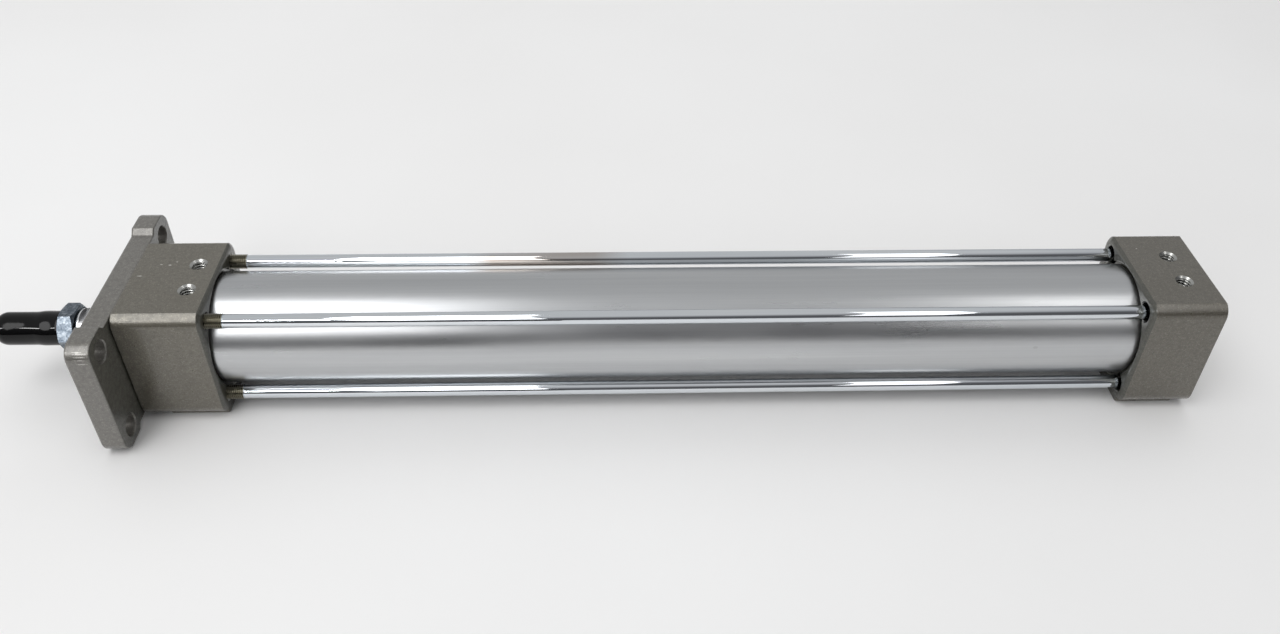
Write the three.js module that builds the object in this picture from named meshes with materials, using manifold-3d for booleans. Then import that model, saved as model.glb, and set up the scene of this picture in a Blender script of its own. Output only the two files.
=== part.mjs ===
// Tie-rod pneumatic cylinder, 1.5 in (38.1 mm) bore, 13 in (330.2 mm) stroke, front rectangular flange.
// Millimetres. Work frame: X along the axis from the rod end (-X) to the rear cover (+X), x = 0 at the
// joint plane between the flange and the front head, y = z = 0 on the cylinder axis, +Z up.
// The finished group is moved so that the origin is the bottom centre of its bounding box.
import * as THREE from 'three';
import { mergeVertices } from 'three/addons/utils/BufferGeometryUtils.js';
import Module from 'manifold-3d';

const wasm = await Module();
wasm.setup();

// ---- driving dimensions ----
const GAP = 0.3;            // clearance between pieces that bear on each other
const SIDE = 50.8;          // head and cover are square, 2.0 in
const EDGE_R = 4.8;         // rounding of the long edges of the castings
const HEAD_L = 32.7;        // front head, along X
const TUBE_VIS = 360.6;     // visible tube between head and cover
const COVER_L = 29.0;       // rear cover
const FLANGE_T = 9.5;       // 3/8 in
const FLANGE_HY = 44.3, FLANGE_HZ = 26.8, FLANGE_R = 6;
const WAIST_HZ = 24.5, WAIST_HY = 28.6, WAIST_RAMP = 2.2; // the flange is lower between its ears
const FLANGE_HOLE_R = 4.35, FLANGE_HOLE_Y = 35.7, FLANGE_HOLE_Z = 19.0;
const BORE_R = 19.05;       // 1.5 in bore
const TUBE_R = 22.25;       // 1.75 in tube
const ROD_R = 7.94;         // 5/8 in rod
const STROKE = 330.2;       // 13 in
const TIE = 18.55;          // tie rods at +-TIE in Y and Z
const TIE_R = 2.75;
const TIE_THREAD_R = 2.92, TIE_ROOT_R = 2.5, TIE_PITCH = 0.75;
const TAP_Y = 7.94;         // 5/8 in spacing of the tapped holes
const TAP_FRONT_X = 24.0;   // from the joint plane
const TAP_R = 2.6, TAP_DEPTH = 10;
const PAD_L = 23.8, PAD_HY = 22, PAD_H = 2.0;   // port pad on the underside
const PORT_X = 12.0, PORT_R = 7.6;              // from the tube side; 3/8 NPT tap size
const SPIGOT_L = 6.0, SPIGOT_R = 18.72;
const RECESS_R = 23.6, RECESS_D = 1.2;
const CUSHION_R = 12.0, SLEEVE_R = 11.2;
const SHOULDER_X = -25.4;   // rod shoulder, 1.0 in ahead of the joint plane, rod fully in
const ROD_THREAD_R = 5.5, ROD_ROOT_R = 4.95, ROD_THREAD_L = 19.05, ROD_PITCH = 1.27;
const NUT_AF = 17.46, NUT_T = 6.2, NUT_TURN = -6.5; // degrees from a flat on top
const CAP_R1 = 7.05, CAP_R2 = 6.7, CAP_TIP = -59.4, CAP_MOUTH = -32.2;
const EASE = 1.5;           // softened edges on the tube side of head and cover
const N_TUBE = 40, N_BIG = 24, N_MID = 16, N_ROD = 20, N_SMALL = 10; // flats round a full circle
const X2 = HEAD_L + TUBE_VIS;      // cover's tube side
const X3 = X2 + COVER_L;           // rear end
const TAP_REAR_X = TAP_FRONT_X + 57.15 + STROKE;

// ---- geometry helpers ----
function solid(geo) {
  const g = geo.clone();
  g.deleteAttribute('normal'); g.deleteAttribute('uv');
  const m = mergeVertices(g, 1e-5);
  const pos = Float32Array.from(m.attributes.position.array);
  const src = m.index.array;
  const tri = [];
  for (let i = 0; i < src.length; i += 3) {
    const [a, b, c] = [src[i], src[i + 1], src[i + 2]];
    if (a !== b && b !== c && a !== c) tri.push(a, b, c);
  }
  let vol = 0;
  for (let i = 0; i < tri.length; i += 3) {
    const p = (k) => [pos[3 * tri[i + k]], pos[3 * tri[i + k] + 1], pos[3 * tri[i + k] + 2]];
    const [A, B, C] = [p(0), p(1), p(2)];
    vol += A[0] * (B[1] * C[2] - B[2] * C[1]) - A[1] * (B[0] * C[2] - B[2] * C[0]) + A[2] * (B[0] * C[1] - B[1] * C[0]);
  }
  if (vol < 0) for (let i = 0; i < tri.length; i += 3) [tri[i + 1], tri[i + 2]] = [tri[i + 2], tri[i + 1]];
  return new wasm.Manifold(new wasm.Mesh({ numProp: 3, vertProperties: pos, triVerts: Uint32Array.from(tri) }));
}
function back(man) {
  const m = man.getMesh();
  const g = new THREE.BufferGeometry();
  const n = m.vertProperties.length / m.numProp;
  const p = new Float32Array(n * 3);
  for (let i = 0; i < n; i++) for (let k = 0; k < 3; k++) p[3 * i + k] = m.vertProperties[m.numProp * i + k];
  g.setAttribute('position', new THREE.BufferAttribute(p, 3));
  g.setIndex(new THREE.BufferAttribute(Uint32Array.from(m.triVerts), 1));
  g.computeVertexNormals();
  return g;
}
// turns a geometry made along +Z or +Y so that its axis lies on the wanted direction
const Z_TO_X = new THREE.Matrix4().makeBasis(new THREE.Vector3(0, 1, 0), new THREE.Vector3(0, 0, 1), new THREE.Vector3(1, 0, 0));
function rev(profile, seg, y = 0, z = 0, turn = 0) { // profile of [x, r], revolved about X
  const g = new THREE.LatheGeometry(profile.map(([x, r]) => new THREE.Vector2(r, x)), seg);
  g.rotateY(turn);
  g.rotateZ(-Math.PI / 2);
  g.translate(0, y, z);
  return solid(g);
}
const ringP = (x0, x1, r0, r1, c = 0) => (c > 0
  ? [[x0, r0], [x0, r1 - c], [x0 + c, r1], [x1 - c, r1], [x1, r1 - c], [x1, r0], [x0, r0]]
  : [[x0, r0], [x0, r1], [x1, r1], [x1, r0], [x0, r0]]);
const ring = (x0, x1, r0, r1, seg, c = 0) => rev(ringP(x0, x1, r0, r1, c), seg);
const rod = (x0, x1, r, seg, y = 0, z = 0) => rev([[x0, 0], [x0, r], [x1, r], [x1, 0]], seg, y, z);
const drill = (x0, x1, r, seg, y = 0, z = 0) => rod(x0, x1, r, seg, y, z);
function axial(profile, seg, dir, at) { // profile of [distance, r] along dir, from the point at
  const g = new THREE.LatheGeometry(profile.map(([d, r]) => new THREE.Vector2(r, d)), seg);
  const q = new THREE.Quaternion().setFromUnitVectors(new THREE.Vector3(0, 1, 0), new THREE.Vector3(...dir));
  g.applyQuaternion(q);
  g.translate(...at);
  return solid(g);
}
function oring(x, r, t, seg = N_MID, tube = 6) {
  const g = new THREE.TorusGeometry(r, t, tube, seg);
  g.applyMatrix4(Z_TO_X);
  g.translate(x, 0, 0);
  return solid(g);
}
function roundedRect(hy, hz, r) {
  const s = new THREE.Shape();
  s.moveTo(-hy + r, -hz);
  s.lineTo(hy - r, -hz); s.absarc(hy - r, -hz + r, r, -Math.PI / 2, 0);
  s.lineTo(hy, hz - r); s.absarc(hy - r, hz - r, r, 0, Math.PI / 2);
  s.lineTo(-hy + r, hz); s.absarc(-hy + r, hz - r, r, Math.PI / 2, Math.PI);
  s.lineTo(-hy, -hz + r); s.absarc(-hy + r, -hz + r, r, Math.PI, 1.5 * Math.PI);
  return s;
}
function block(x0, x1, hy, hz, r, bevel, cy = 0, cz = 0, curve = 4) { // rounded bar along X with eased ends
  const g = new THREE.ExtrudeGeometry(roundedRect(hy - bevel, hz - bevel, Math.max(r - bevel, 0.05)), {
    depth: x1 - x0 - 2 * bevel, curveSegments: curve, bevelEnabled: bevel > 0,
    bevelThickness: bevel, bevelSize: bevel, bevelSegments: 1,
  });
  g.applyMatrix4(Z_TO_X);
  g.translate(x0 + bevel, cy, cz);
  return solid(g);
}
function hexBar(x0, x1, af, y = 0, z = 0, turnDeg = 0) { // turnDeg from a flat on top
  const s = new THREE.Shape();
  const R = af / Math.sqrt(3);
  for (let k = 0; k < 6; k++) {
    const a = Math.PI / 180 * (60 * k + turnDeg);
    if (k === 0) s.moveTo(R * Math.cos(a), R * Math.sin(a)); else s.lineTo(R * Math.cos(a), R * Math.sin(a));
  }
  const g = new THREE.ExtrudeGeometry(s, { depth: x1 - x0, bevelEnabled: false });
  g.applyMatrix4(Z_TO_X);
  g.translate(x0, y, z);
  return solid(g);
}
const sub = (a, ...bs) => bs.reduce((m, b) => m.subtract(b), a);
const add = (a, ...bs) => bs.reduce((m, b) => m.add(b), a);

// ---- group and materials ----
const group = new THREE.Group();
group.name = 'pneumatic_cylinder';
const SX = -(CAP_TIP + X3) / 2;
const SZ = SIDE / 2 + PAD_H;
function put(name, man, color, roughness, metalness) {
  const g = back(man);
  g.translate(SX, 0, SZ);
  const mesh = new THREE.Mesh(g, new THREE.MeshStandardMaterial({ color, roughness, metalness }));
  mesh.name = name;
  group.add(mesh);
}
const CAST = ['#6e6861', 0.55, 0.55], ALU = ['#c9ccce', 0.32, 1.0], ZINC = ['#c6ced2', 0.22, 1.0];
const CHROME = ['#d6d9db', 0.08, 1.0], STEEL = ['#8b8d90', 0.35, 1.0], BLACK = ['#0c0c0d', 0.28, 0.0];
const RUBBER = ['#141414', 0.6, 0.0], PU = ['#2f5b3a', 0.5, 0.0], BRONZE = ['#a8824a', 0.4, 1.0], PTFE = ['#3a2a20', 0.6, 0.0];
const CORNERS = [[-1, 1], [1, 1], [-1, -1], [1, -1]]; // near top, far top, near bottom, far bottom

// ---- front flange ----
{
  let m = block(-FLANGE_T, -GAP, FLANGE_HY, FLANGE_HZ, FLANGE_R, 0.7);
  for (const s of [1, -1]) {
    const w = new THREE.Shape();
    w.moveTo(-WAIST_HY, s * WAIST_HZ); w.lineTo(WAIST_HY, s * WAIST_HZ);
    w.lineTo(WAIST_HY + 2 * WAIST_RAMP, s * (WAIST_HZ + 2 * (FLANGE_HZ - WAIST_HZ))); w.lineTo(-WAIST_HY - 2 * WAIST_RAMP, s * (WAIST_HZ + 2 * (FLANGE_HZ - WAIST_HZ)));
    const g = new THREE.ExtrudeGeometry(w, { depth: 20, bevelEnabled: false });
    g.applyMatrix4(Z_TO_X);
    g.translate(-15, 0, 0);
    m = sub(m, solid(g));
  }
  m = sub(m, drill(-20, 5, 14.6, N_BIG));
  for (const [a, b] of CORNERS) {
    m = sub(m, drill(-20, 5, FLANGE_HOLE_R, N_MID, a * FLANGE_HOLE_Y, b * FLANGE_HOLE_Z));
    m = sub(m, drill(-20, 5, 3.3, N_SMALL, a * TIE, b * TIE));
    m = sub(m, drill(-20, -FLANGE_T + 6.6, 5.4, N_SMALL + 2, a * TIE, b * TIE));
  }
  put('front_flange', m, ...CAST);
}
// ---- four socket screws that hold the flange on the front head ----
CORNERS.forEach(([a, b], i) => {
  const x = -FLANGE_T + 0.4;
  let m = rev([[x, 0], [x, 4.6], [x + 0.4, 5.0], [x + 5.9, 5.0], [x + 5.9, 2.75], [12.4, 2.75], [13, 2.2], [13, 0]], N_SMALL, a * TIE, b * TIE);
  m = sub(m, hexBar(x - 1, x + 3, 5, a * TIE, b * TIE));
  put(`flange_screw_${i + 1}`, m, ...STEEL);
});
// ---- front head ----
function tapped(m, x) {
  for (const s of [-1, 1]) {
    m = sub(m, axial([[-0.01, 0], [-0.01, TAP_R + 0.55], [0.55, TAP_R], [TAP_DEPTH, TAP_R], [TAP_DEPTH + 1.4, 0]], N_SMALL + 2, [0, 0, -1], [x, s * TAP_Y, SIDE / 2]));
  }
  return m;
}
function port(m, x) { // tapped hole in the pad, drilled on into the cushion bore
  m = sub(m, axial([[-0.01, 0], [-0.01, PORT_R + 0.9], [0.9, PORT_R], [12.4, PORT_R - 0.4], [12.4, 0]], N_MID, [0, 0, 1], [x, 0, -SIDE / 2 - PAD_H]));
  return sub(m, axial([[0, 0], [0, 4.2], [19, 4.2], [19, 0]], N_SMALL, [0, 0, 1], [x, 0, -SIDE / 2 - PAD_H + 10]));
}
function needleHole(m, x, xEnd) { // screw bore from the +Y face, seat, and the bypass to the tube side
  m = sub(m, axial([[-0.01, 0], [-0.01, 4.5], [0.5, 4.05], [8.6, 4.05], [10.2, 1.7], [16, 1.7], [16, 0]], N_SMALL, [0, -1, 0], [x, SIDE / 2, 0]));
  return sub(m, rod(Math.min(x, xEnd), Math.max(x, xEnd), 1.0, 8, 15.2, 0));
}
{
  let m = sub(block(0.7 - EASE, HEAD_L, SIDE / 2, SIDE / 2, EDGE_R, EASE), block(-4, 0, 30, 30, 1, 0, 0, 0, 1));
  m = add(m, block(HEAD_L - PAD_L, HEAD_L - 0.5, PAD_HY, 4, 1.2, 0.5, 0, -SIDE / 2 - PAD_H + 4, 2));
  m = sub(m, ring(HEAD_L - RECESS_D, HEAD_L + 3, SPIGOT_R, RECESS_R, N_BIG));
  const e = HEAD_L + SPIGOT_L;
  m = add(m, rev([[HEAD_L - 5, 13.5], [HEAD_L - 5, SPIGOT_R], [e - 0.8, SPIGOT_R], [e, SPIGOT_R - 0.8], [e, 13.5], [HEAD_L - 5, 13.5]], N_BIG));
  m = sub(m, rev([[-1, 0], [-1, 17.3], [5.6, 17.3], [5.6, 14.6], [14.6, 14.6], [14.6, CUSHION_R], [HEAD_L + 0.5, CUSHION_R], [HEAD_L + 0.5, 13.6], [HEAD_L + 4.5, 13.6], [HEAD_L + 4.5, CUSHION_R], [e - 0.8, CUSHION_R], [e + 1, CUSHION_R + 1.8], [e + 1, 0]], N_BIG));
  m = sub(m, ring(HEAD_L + 1.6, HEAD_L + 4.3, 16.7, SPIGOT_R + 2, N_BIG));
  for (const [a, b] of CORNERS) {
    m = sub(m, drill(-2, 14, 3.05, N_SMALL, a * TIE, b * TIE));
    m = sub(m, drill(HEAD_L - 15, HEAD_L + 2, 3.22, N_SMALL, a * TIE, b * TIE));
  }
  m = tapped(m, TAP_FRONT_X);
  m = port(m, HEAD_L - PORT_X);
  m = needleHole(m, HEAD_L - PORT_X, e + 1);
  put('front_head', m, ...CAST);
}
// ---- rod gland, its bush and seals ----
{
  const m = rev([[-15.9, 9.0], [-15.9, 13.6], [-15.2, 14.3], [0.1, 14.3], [0.1, 17.0], [5.3, 17.0], [5.3, 14.3], [9.0, 14.3], [9.0, 12.5], [11.6, 12.5], [11.6, 14.3],
    [14.2, 14.3], [14.2, 8.4], [13.1, 8.4], [13.1, 11.0], [8.6, 11.0], [8.6, 8.3], [7.1, 8.3], [7.1, 9.9], [-9.9, 9.9], [-9.9, 8.3], [-11.4, 8.3], [-11.4, 10.8], [-15.3, 10.8], [-15.3, 9.0], [-15.9, 9.0]], N_ROD);
  put('rod_gland', m, ...STEEL);
}
put('rod_bush', ring(-9.6, 6.8, 8.1, 9.6, N_ROD), ...BRONZE);
put('rod_seal', rev([[8.9, 8.1], [8.9, 10.7], [12.8, 10.7], [12.4, 9.9], [11.0, 9.5], [11.0, 9.1], [12.8, 8.6], [12.6, 8.1], [8.9, 8.1]], N_ROD), ...PU);
put('rod_wiper', rev([[-15.0, 8.1], [-15.0, 8.7], [-14.2, 9.2], [-14.6, 10.5], [-11.7, 10.5], [-11.7, 8.5], [-13.5, 8.5], [-15.0, 8.1]], N_ROD), ...PU);
put('gland_o_ring', oring(10.3, 13.55, 0.75), ...RUBBER);
// ---- barrel ----
put('cylinder_tube', ring(HEAD_L - RECESS_D + GAP, X2 + RECESS_D - GAP, BORE_R, TUBE_R, N_TUBE), ...ALU);
put('front_tube_seal', oring(HEAD_L + 2.95, 17.85, 0.85, N_BIG), ...RUBBER);
put('rear_tube_seal', oring(X2 - 2.95, 17.85, 0.85, N_BIG), ...RUBBER);
// ---- rear cover ----
{
  let m = sub(block(X2, X3 + EASE - 0.4, SIDE / 2, SIDE / 2, EDGE_R, EASE), block(X3, X3 + 4, 30, 30, 1, 0, 0, 0, 1));
  m = add(m, block(X2 + 0.5, X2 + PAD_L, PAD_HY, 4, 1.2, 0.5, 0, -SIDE / 2 - PAD_H + 4, 2));
  m = sub(m, ring(X2 - 3, X2 + RECESS_D, SPIGOT_R, RECESS_R, N_BIG));
  const e = X2 - SPIGOT_L;
  m = add(m, rev([[e, 13.5], [e, SPIGOT_R - 0.8], [e + 0.8, SPIGOT_R], [X2 + 5, SPIGOT_R], [X2 + 5, 13.5], [e, 13.5]], N_BIG));
  m = sub(m, rev([[e - 1, 0], [e - 1, CUSHION_R + 1.8], [e + 0.8, CUSHION_R], [X2 - 4.5, CUSHION_R], [X2 - 4.5, 13.6], [X2 - 0.5, 13.6], [X2 - 0.5, CUSHION_R], [X2 + 20, CUSHION_R], [X2 + 20, 0]], N_BIG));
  m = sub(m, ring(X2 - 4.3, X2 - 1.6, 16.7, SPIGOT_R + 2, N_BIG));
  for (const [a, b] of CORNERS) {
    m = sub(m, drill(X2 - 2, X3 + 2, 3.8, N_SMALL + 2, a * TIE, b * TIE));
    m = sub(m, drill(X3 - 11.5, X3 + 2, 5.2, N_SMALL + 2, a * TIE, b * TIE));
  }
  m = tapped(m, TAP_REAR_X);
  m = port(m, X2 + PORT_X);
  m = needleHole(m, X2 + PORT_X, e - 1);
  put('rear_cover', m, ...CAST);
}
// ---- cushion seals in the two bores ----
for (const [n, x] of [['front_cushion_seal', HEAD_L + 0.8], ['rear_cushion_seal', X2 - 4.2]]) put(n, ring(x, x + 3.4, 11.5, 13.3, N_MID), ...PU);
// ---- tie rods, their washers and nuts ----
const TIE_X0 = HEAD_L - 14, TIE_X1 = HEAD_L + 6.4, TIE_X2 = X3 - 14.5, TIE_X3 = X3 - 3.8;
CORNERS.forEach(([a, b], i) => {
  const p = [[TIE_X0, 0], [TIE_X0, TIE_ROOT_R], [HEAD_L - 1.0, TIE_ROOT_R]];
  for (let x = HEAD_L - 1.0; x < TIE_X1 - TIE_PITCH; x += TIE_PITCH) p.push([x + TIE_PITCH / 2, TIE_THREAD_R], [x + TIE_PITCH, TIE_ROOT_R]);
  p.push([TIE_X1, TIE_R], [TIE_X2, TIE_R], [TIE_X2 + 0.4, TIE_ROOT_R], [TIE_X3 - 0.5, TIE_ROOT_R], [TIE_X3, 2.0], [TIE_X3, 0]);
  put(`tie_rod_${i + 1}`, rev(p, N_SMALL, a * TIE, b * TIE), ...ZINC);
});
CORNERS.forEach(([a, b], i) => put(`tie_rod_washer_${i + 1}`, rev(ringP(X3 - 11.2, X3 - 9.9, 3.15, 4.9), N_SMALL + 2, a * TIE, b * TIE), ...ZINC));
CORNERS.forEach(([a, b], i) => {
  const x0 = X3 - 9.6, x1 = X3 - 0.5;
  let m = rev([[x0, 0], [x0, 4.8], [x1 - 0.5, 4.8], [x1, 4.3], [x1, 0]], N_SMALL + 2, a * TIE, b * TIE);
  m = sub(m, rod(x0 - 1, x1 - 3.0, 2.9, N_SMALL, a * TIE, b * TIE), hexBar(x1 - 3.05, x1 + 1, 5, a * TIE, b * TIE));
  put(`tie_rod_nut_${i + 1}`, m, ...STEEL);
});
// ---- cushion needles and their O-rings, on the far side ----
for (const [end, x] of [['front', HEAD_L - PORT_X], ['rear', X2 + PORT_X]]) {
  const s = SIDE / 2;
  let m = axial([[0.5, 0], [0.5, 3.3], [0.8, 3.7], [4.6, 3.7], [4.6, 2.55], [6.7, 2.55], [6.7, 3.7], [8.2, 3.7], [8.2, 1.35], [12.2, 1.35], [13.6, 0.4], [13.6, 0]], N_SMALL + 2, [0, -1, 0], [x, s, 0]);
  m = sub(m, axial([[0, 0], [0, 1.75], [3.0, 1.75], [3.0, 0]], 6, [0, -1, 0], [x, s, 0]));
  put(`${end}_cushion_needle`, m, ...STEEL);
  const t = new THREE.TorusGeometry(3.2, 0.5, 6, N_SMALL + 2);
  t.rotateX(Math.PI / 2);
  t.translate(x, s - 5.65, 0);
  put(`${end}_needle_o_ring`, solid(t), ...RUBBER);
}
// ---- piston ----
const PX1 = X2 - SPIGOT_L - 0.4, PX0 = PX1 - (TUBE_VIS - 2 * SPIGOT_L - STROKE - 0.8);
{
  const R = 18.6;
  const m = rev([[PX0, 6.35], [PX0, R - 0.5], [PX0 + 0.5, R], [PX0 + 2.2, R], [PX0 + 2.2, 14.9], [PX0 + 6.0, 14.9], [PX0 + 6.0, R], [PX0 + 7.2, R], [PX0 + 7.2, 16.7],
    [PX1 - 7.2, 16.7], [PX1 - 7.2, R], [PX1 - 6.0, R], [PX1 - 6.0, 14.9], [PX1 - 2.2, 14.9], [PX1 - 2.2, R], [PX1 - 0.5, R], [PX1, R - 0.5],
    [PX1, 6.35], [PX0 + 10.5, 6.35], [PX0 + 10.5, 7.7], [PX0 + 8.3, 7.7], [PX0 + 8.3, 6.35], [PX0, 6.35]], N_BIG);
  put('piston', m, ...ALU);
  const lip = (x0, d) => rev([[x0, 15.2], [x0, 18.5], [x0 + d * 1.0, 18.5], [x0 + d * 3.2, 18.8], [x0 + d * 2.8, 18.0], [x0 + d * 1.6, 17.2], [x0 + d * 1.6, 16.6], [x0 + d * 3.2, 15.9], [x0 + d * 3.2, 15.2], [x0, 15.2]], N_MID);
  put('piston_seal_front', lip(PX0 + 5.7, -1), ...PU);
  put('piston_seal_rear', lip(PX1 - 5.7, 1), ...PU);
  put('piston_wear_ring', ring(PX0 + 7.5, PX1 - 7.5, 17.0, 18.75, N_MID), ...PTFE);
  put('piston_o_ring', oring(PX0 + 9.4, 7.03, 0.6), ...RUBBER);
}
// ---- rod with its shoulder, wrench flats and end thread ----
{
  const end = SHOULDER_X - ROD_THREAD_L;
  const p = [[end, 0], [end, ROD_ROOT_R - 0.5], [end + 0.5, ROD_ROOT_R]];
  for (let x = end + 0.5; x < SHOULDER_X - 7.9; x += ROD_PITCH) p.push([x + ROD_PITCH / 2, ROD_THREAD_R], [x + ROD_PITCH, ROD_ROOT_R]);
  p.push([SHOULDER_X, ROD_ROOT_R], [SHOULDER_X, ROD_R - 0.8], [SHOULDER_X + 0.8, ROD_R], [PX0 - GAP, ROD_R], [PX0 - GAP, 6.0], [PX1 + 14.2, 6.0], [PX1 + 14.7, 5.5], [PX1 + 14.7, 0]);
  let m = rev(p, N_ROD);
  for (const s of [-1, 1]) {
    const g = new THREE.BoxGeometry(7.2, 20, 4);
    g.translate(SHOULDER_X + 1.4 + 3.6, 0, s * (6.35 + 2));
    m = sub(m, solid(g));
  }
  put('piston_rod', m, ...CHROME);
}
put('front_cushion_sleeve', rev([[PX0 - 16.3, 8.3], [PX0 - 16.3, 10.2], [PX0 - 14.3, SLEEVE_R], [PX0 - GAP, SLEEVE_R], [PX0 - GAP, 8.3], [PX0 - 16.3, 8.3]], N_MID), ...STEEL);
put('rear_cushion_spear', rev([[PX1 + GAP, 6.3], [PX1 + 15.2, 6.3], [PX1 + 15.2, 0], [PX1 + 18.5, 0], [PX1 + 18.5, 9.6], [PX1 + 16.5, SLEEVE_R], [PX1 + GAP, SLEEVE_R], [PX1 + GAP, 6.3]].reverse(), N_MID), ...STEEL);
// ---- jam nut against the shoulder ----
{
  const x1 = SHOULDER_X - GAP, x0 = x1 - NUT_T, R = NUT_AF / Math.sqrt(3), h = NUT_AF / 2;
  let m = hexBar(x0, x1, NUT_AF, 0, 0, NUT_TURN);
  m = m.intersect(rev([[x0, 0], [x0, h - 0.1], [x0 + (R - h) * 0.6, R + 0.05], [x1 - (R - h) * 0.6, R + 0.05], [x1, h - 0.1], [x1, 0]], N_ROD));
  m = sub(m, rev([[x0 - 1, 0], [x0 - 1, ROD_THREAD_R + 1.3], [x0 + 0.6, ROD_THREAD_R + 0.3], [x1 - 0.6, ROD_THREAD_R + 0.3], [x1 + 1, ROD_THREAD_R + 1.3], [x1 + 1, 0]], N_MID));
  put('rod_jam_nut', m, ...ZINC);
}
// ---- slip-on cap over the rod thread ----
{
  const t = CAP_TIP, p = [[t, 0]];
  for (let k = 1; k <= 4; k++) { const a = Math.PI / 8 * k; p.push([t + 5.2 * (1 - Math.cos(a)), CAP_R2 - 5.2 + 5.2 * Math.sin(a)]); }
  p.push([-41.6, CAP_R2], [-39.4, CAP_R1], [CAP_MOUTH, CAP_R1], [CAP_MOUTH, 5.8], [-45.2, 5.8], [-46.4, 5.3], [-56.1, 5.3], [-57.8, 3.6], [-57.8, 0]);
  put('rod_end_cap', rev(p, N_ROD), ...BLACK);
}

export default group;
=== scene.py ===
import math

import bmesh
import bpy
from mathutils import Matrix, Vector


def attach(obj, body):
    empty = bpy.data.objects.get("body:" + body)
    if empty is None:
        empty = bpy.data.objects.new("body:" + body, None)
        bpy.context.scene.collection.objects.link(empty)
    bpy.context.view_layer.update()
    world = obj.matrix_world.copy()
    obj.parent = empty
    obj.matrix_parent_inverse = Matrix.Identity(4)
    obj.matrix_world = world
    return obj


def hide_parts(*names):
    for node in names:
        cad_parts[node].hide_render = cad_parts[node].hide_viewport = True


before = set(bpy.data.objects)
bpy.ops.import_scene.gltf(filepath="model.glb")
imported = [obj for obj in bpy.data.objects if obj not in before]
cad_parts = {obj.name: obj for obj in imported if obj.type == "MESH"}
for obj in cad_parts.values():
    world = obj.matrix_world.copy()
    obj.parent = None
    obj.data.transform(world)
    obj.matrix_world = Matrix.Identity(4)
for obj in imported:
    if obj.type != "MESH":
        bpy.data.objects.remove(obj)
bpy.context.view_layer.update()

# ---------------------------------------------------------------- dimensions, mm, in the part's work frame
SIDE, EDGE_R = 50.8, 4.8
HEAD_L, TUBE_VIS, COVER_L = 32.7, 360.6, 29.0
X2 = HEAD_L + TUBE_VIS
X3 = X2 + COVER_L
FL_T, FL_HY, FL_HZ, FL_R = 9.5, 44.3, 26.8, 6.0
WAIST_HY, WAIST_HZ, WAIST_RAMP = 28.6, 24.5, 2.2
RECESS_R = 23.6
FL_HOLE_R, FL_Y, FL_Z = 4.35, 35.7, 19.0
TIE = 18.55
TAP_Y, TAP_FX = 7.94, 24.0
TAP_RX = TAP_FX + 57.15 + 330.2
PAD_L, PAD_HY, PAD_H = 23.8, 22.0, 2.0
PORT_X = 12.0
SHOULDER = -25.4
CAP_TIP, CAP_MOUTH = -59.4, -32.2
OX = -(CAP_TIP + X3) / 2
OZ = SIDE / 2 + PAD_H
CORNERS = [(-1, 1), (1, 1), (-1, -1), (1, -1)]


# ---------------------------------------------------------------- mesh helpers (all in mm until finish_piece)
def make(name, verts, faces, mat=0):
    me = bpy.data.meshes.new(name)
    me.from_pydata([tuple(v) for v in verts], [], faces)
    me.update()
    bm = bmesh.new()
    bm.from_mesh(me)
    bmesh.ops.recalc_face_normals(bm, faces=bm.faces)
    for f in bm.faces:
        f.material_index = mat
    bm.to_mesh(me)
    bm.free()
    o = bpy.data.objects.new(name, me)
    bpy.context.scene.collection.objects.link(o)
    return o


def axes(kind):
    """(axial, u, v) directions, right handed."""
    return {
        "x": (Vector((1, 0, 0)), Vector((0, 1, 0)), Vector((0, 0, 1))),
        "-x": (Vector((-1, 0, 0)), Vector((0, 1, 0)), Vector((0, 0, -1))),
        "z": (Vector((0, 0, 1)), Vector((1, 0, 0)), Vector((0, 1, 0))),
        "-z": (Vector((0, 0, -1)), Vector((0, 1, 0)), Vector((1, 0, 0))),
        "y": (Vector((0, 1, 0)), Vector((0, 0, 1)), Vector((1, 0, 0))),
        "-y": (Vector((0, -1, 0)), Vector((1, 0, 0)), Vector((0, 0, 1))),
    }[kind]


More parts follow.
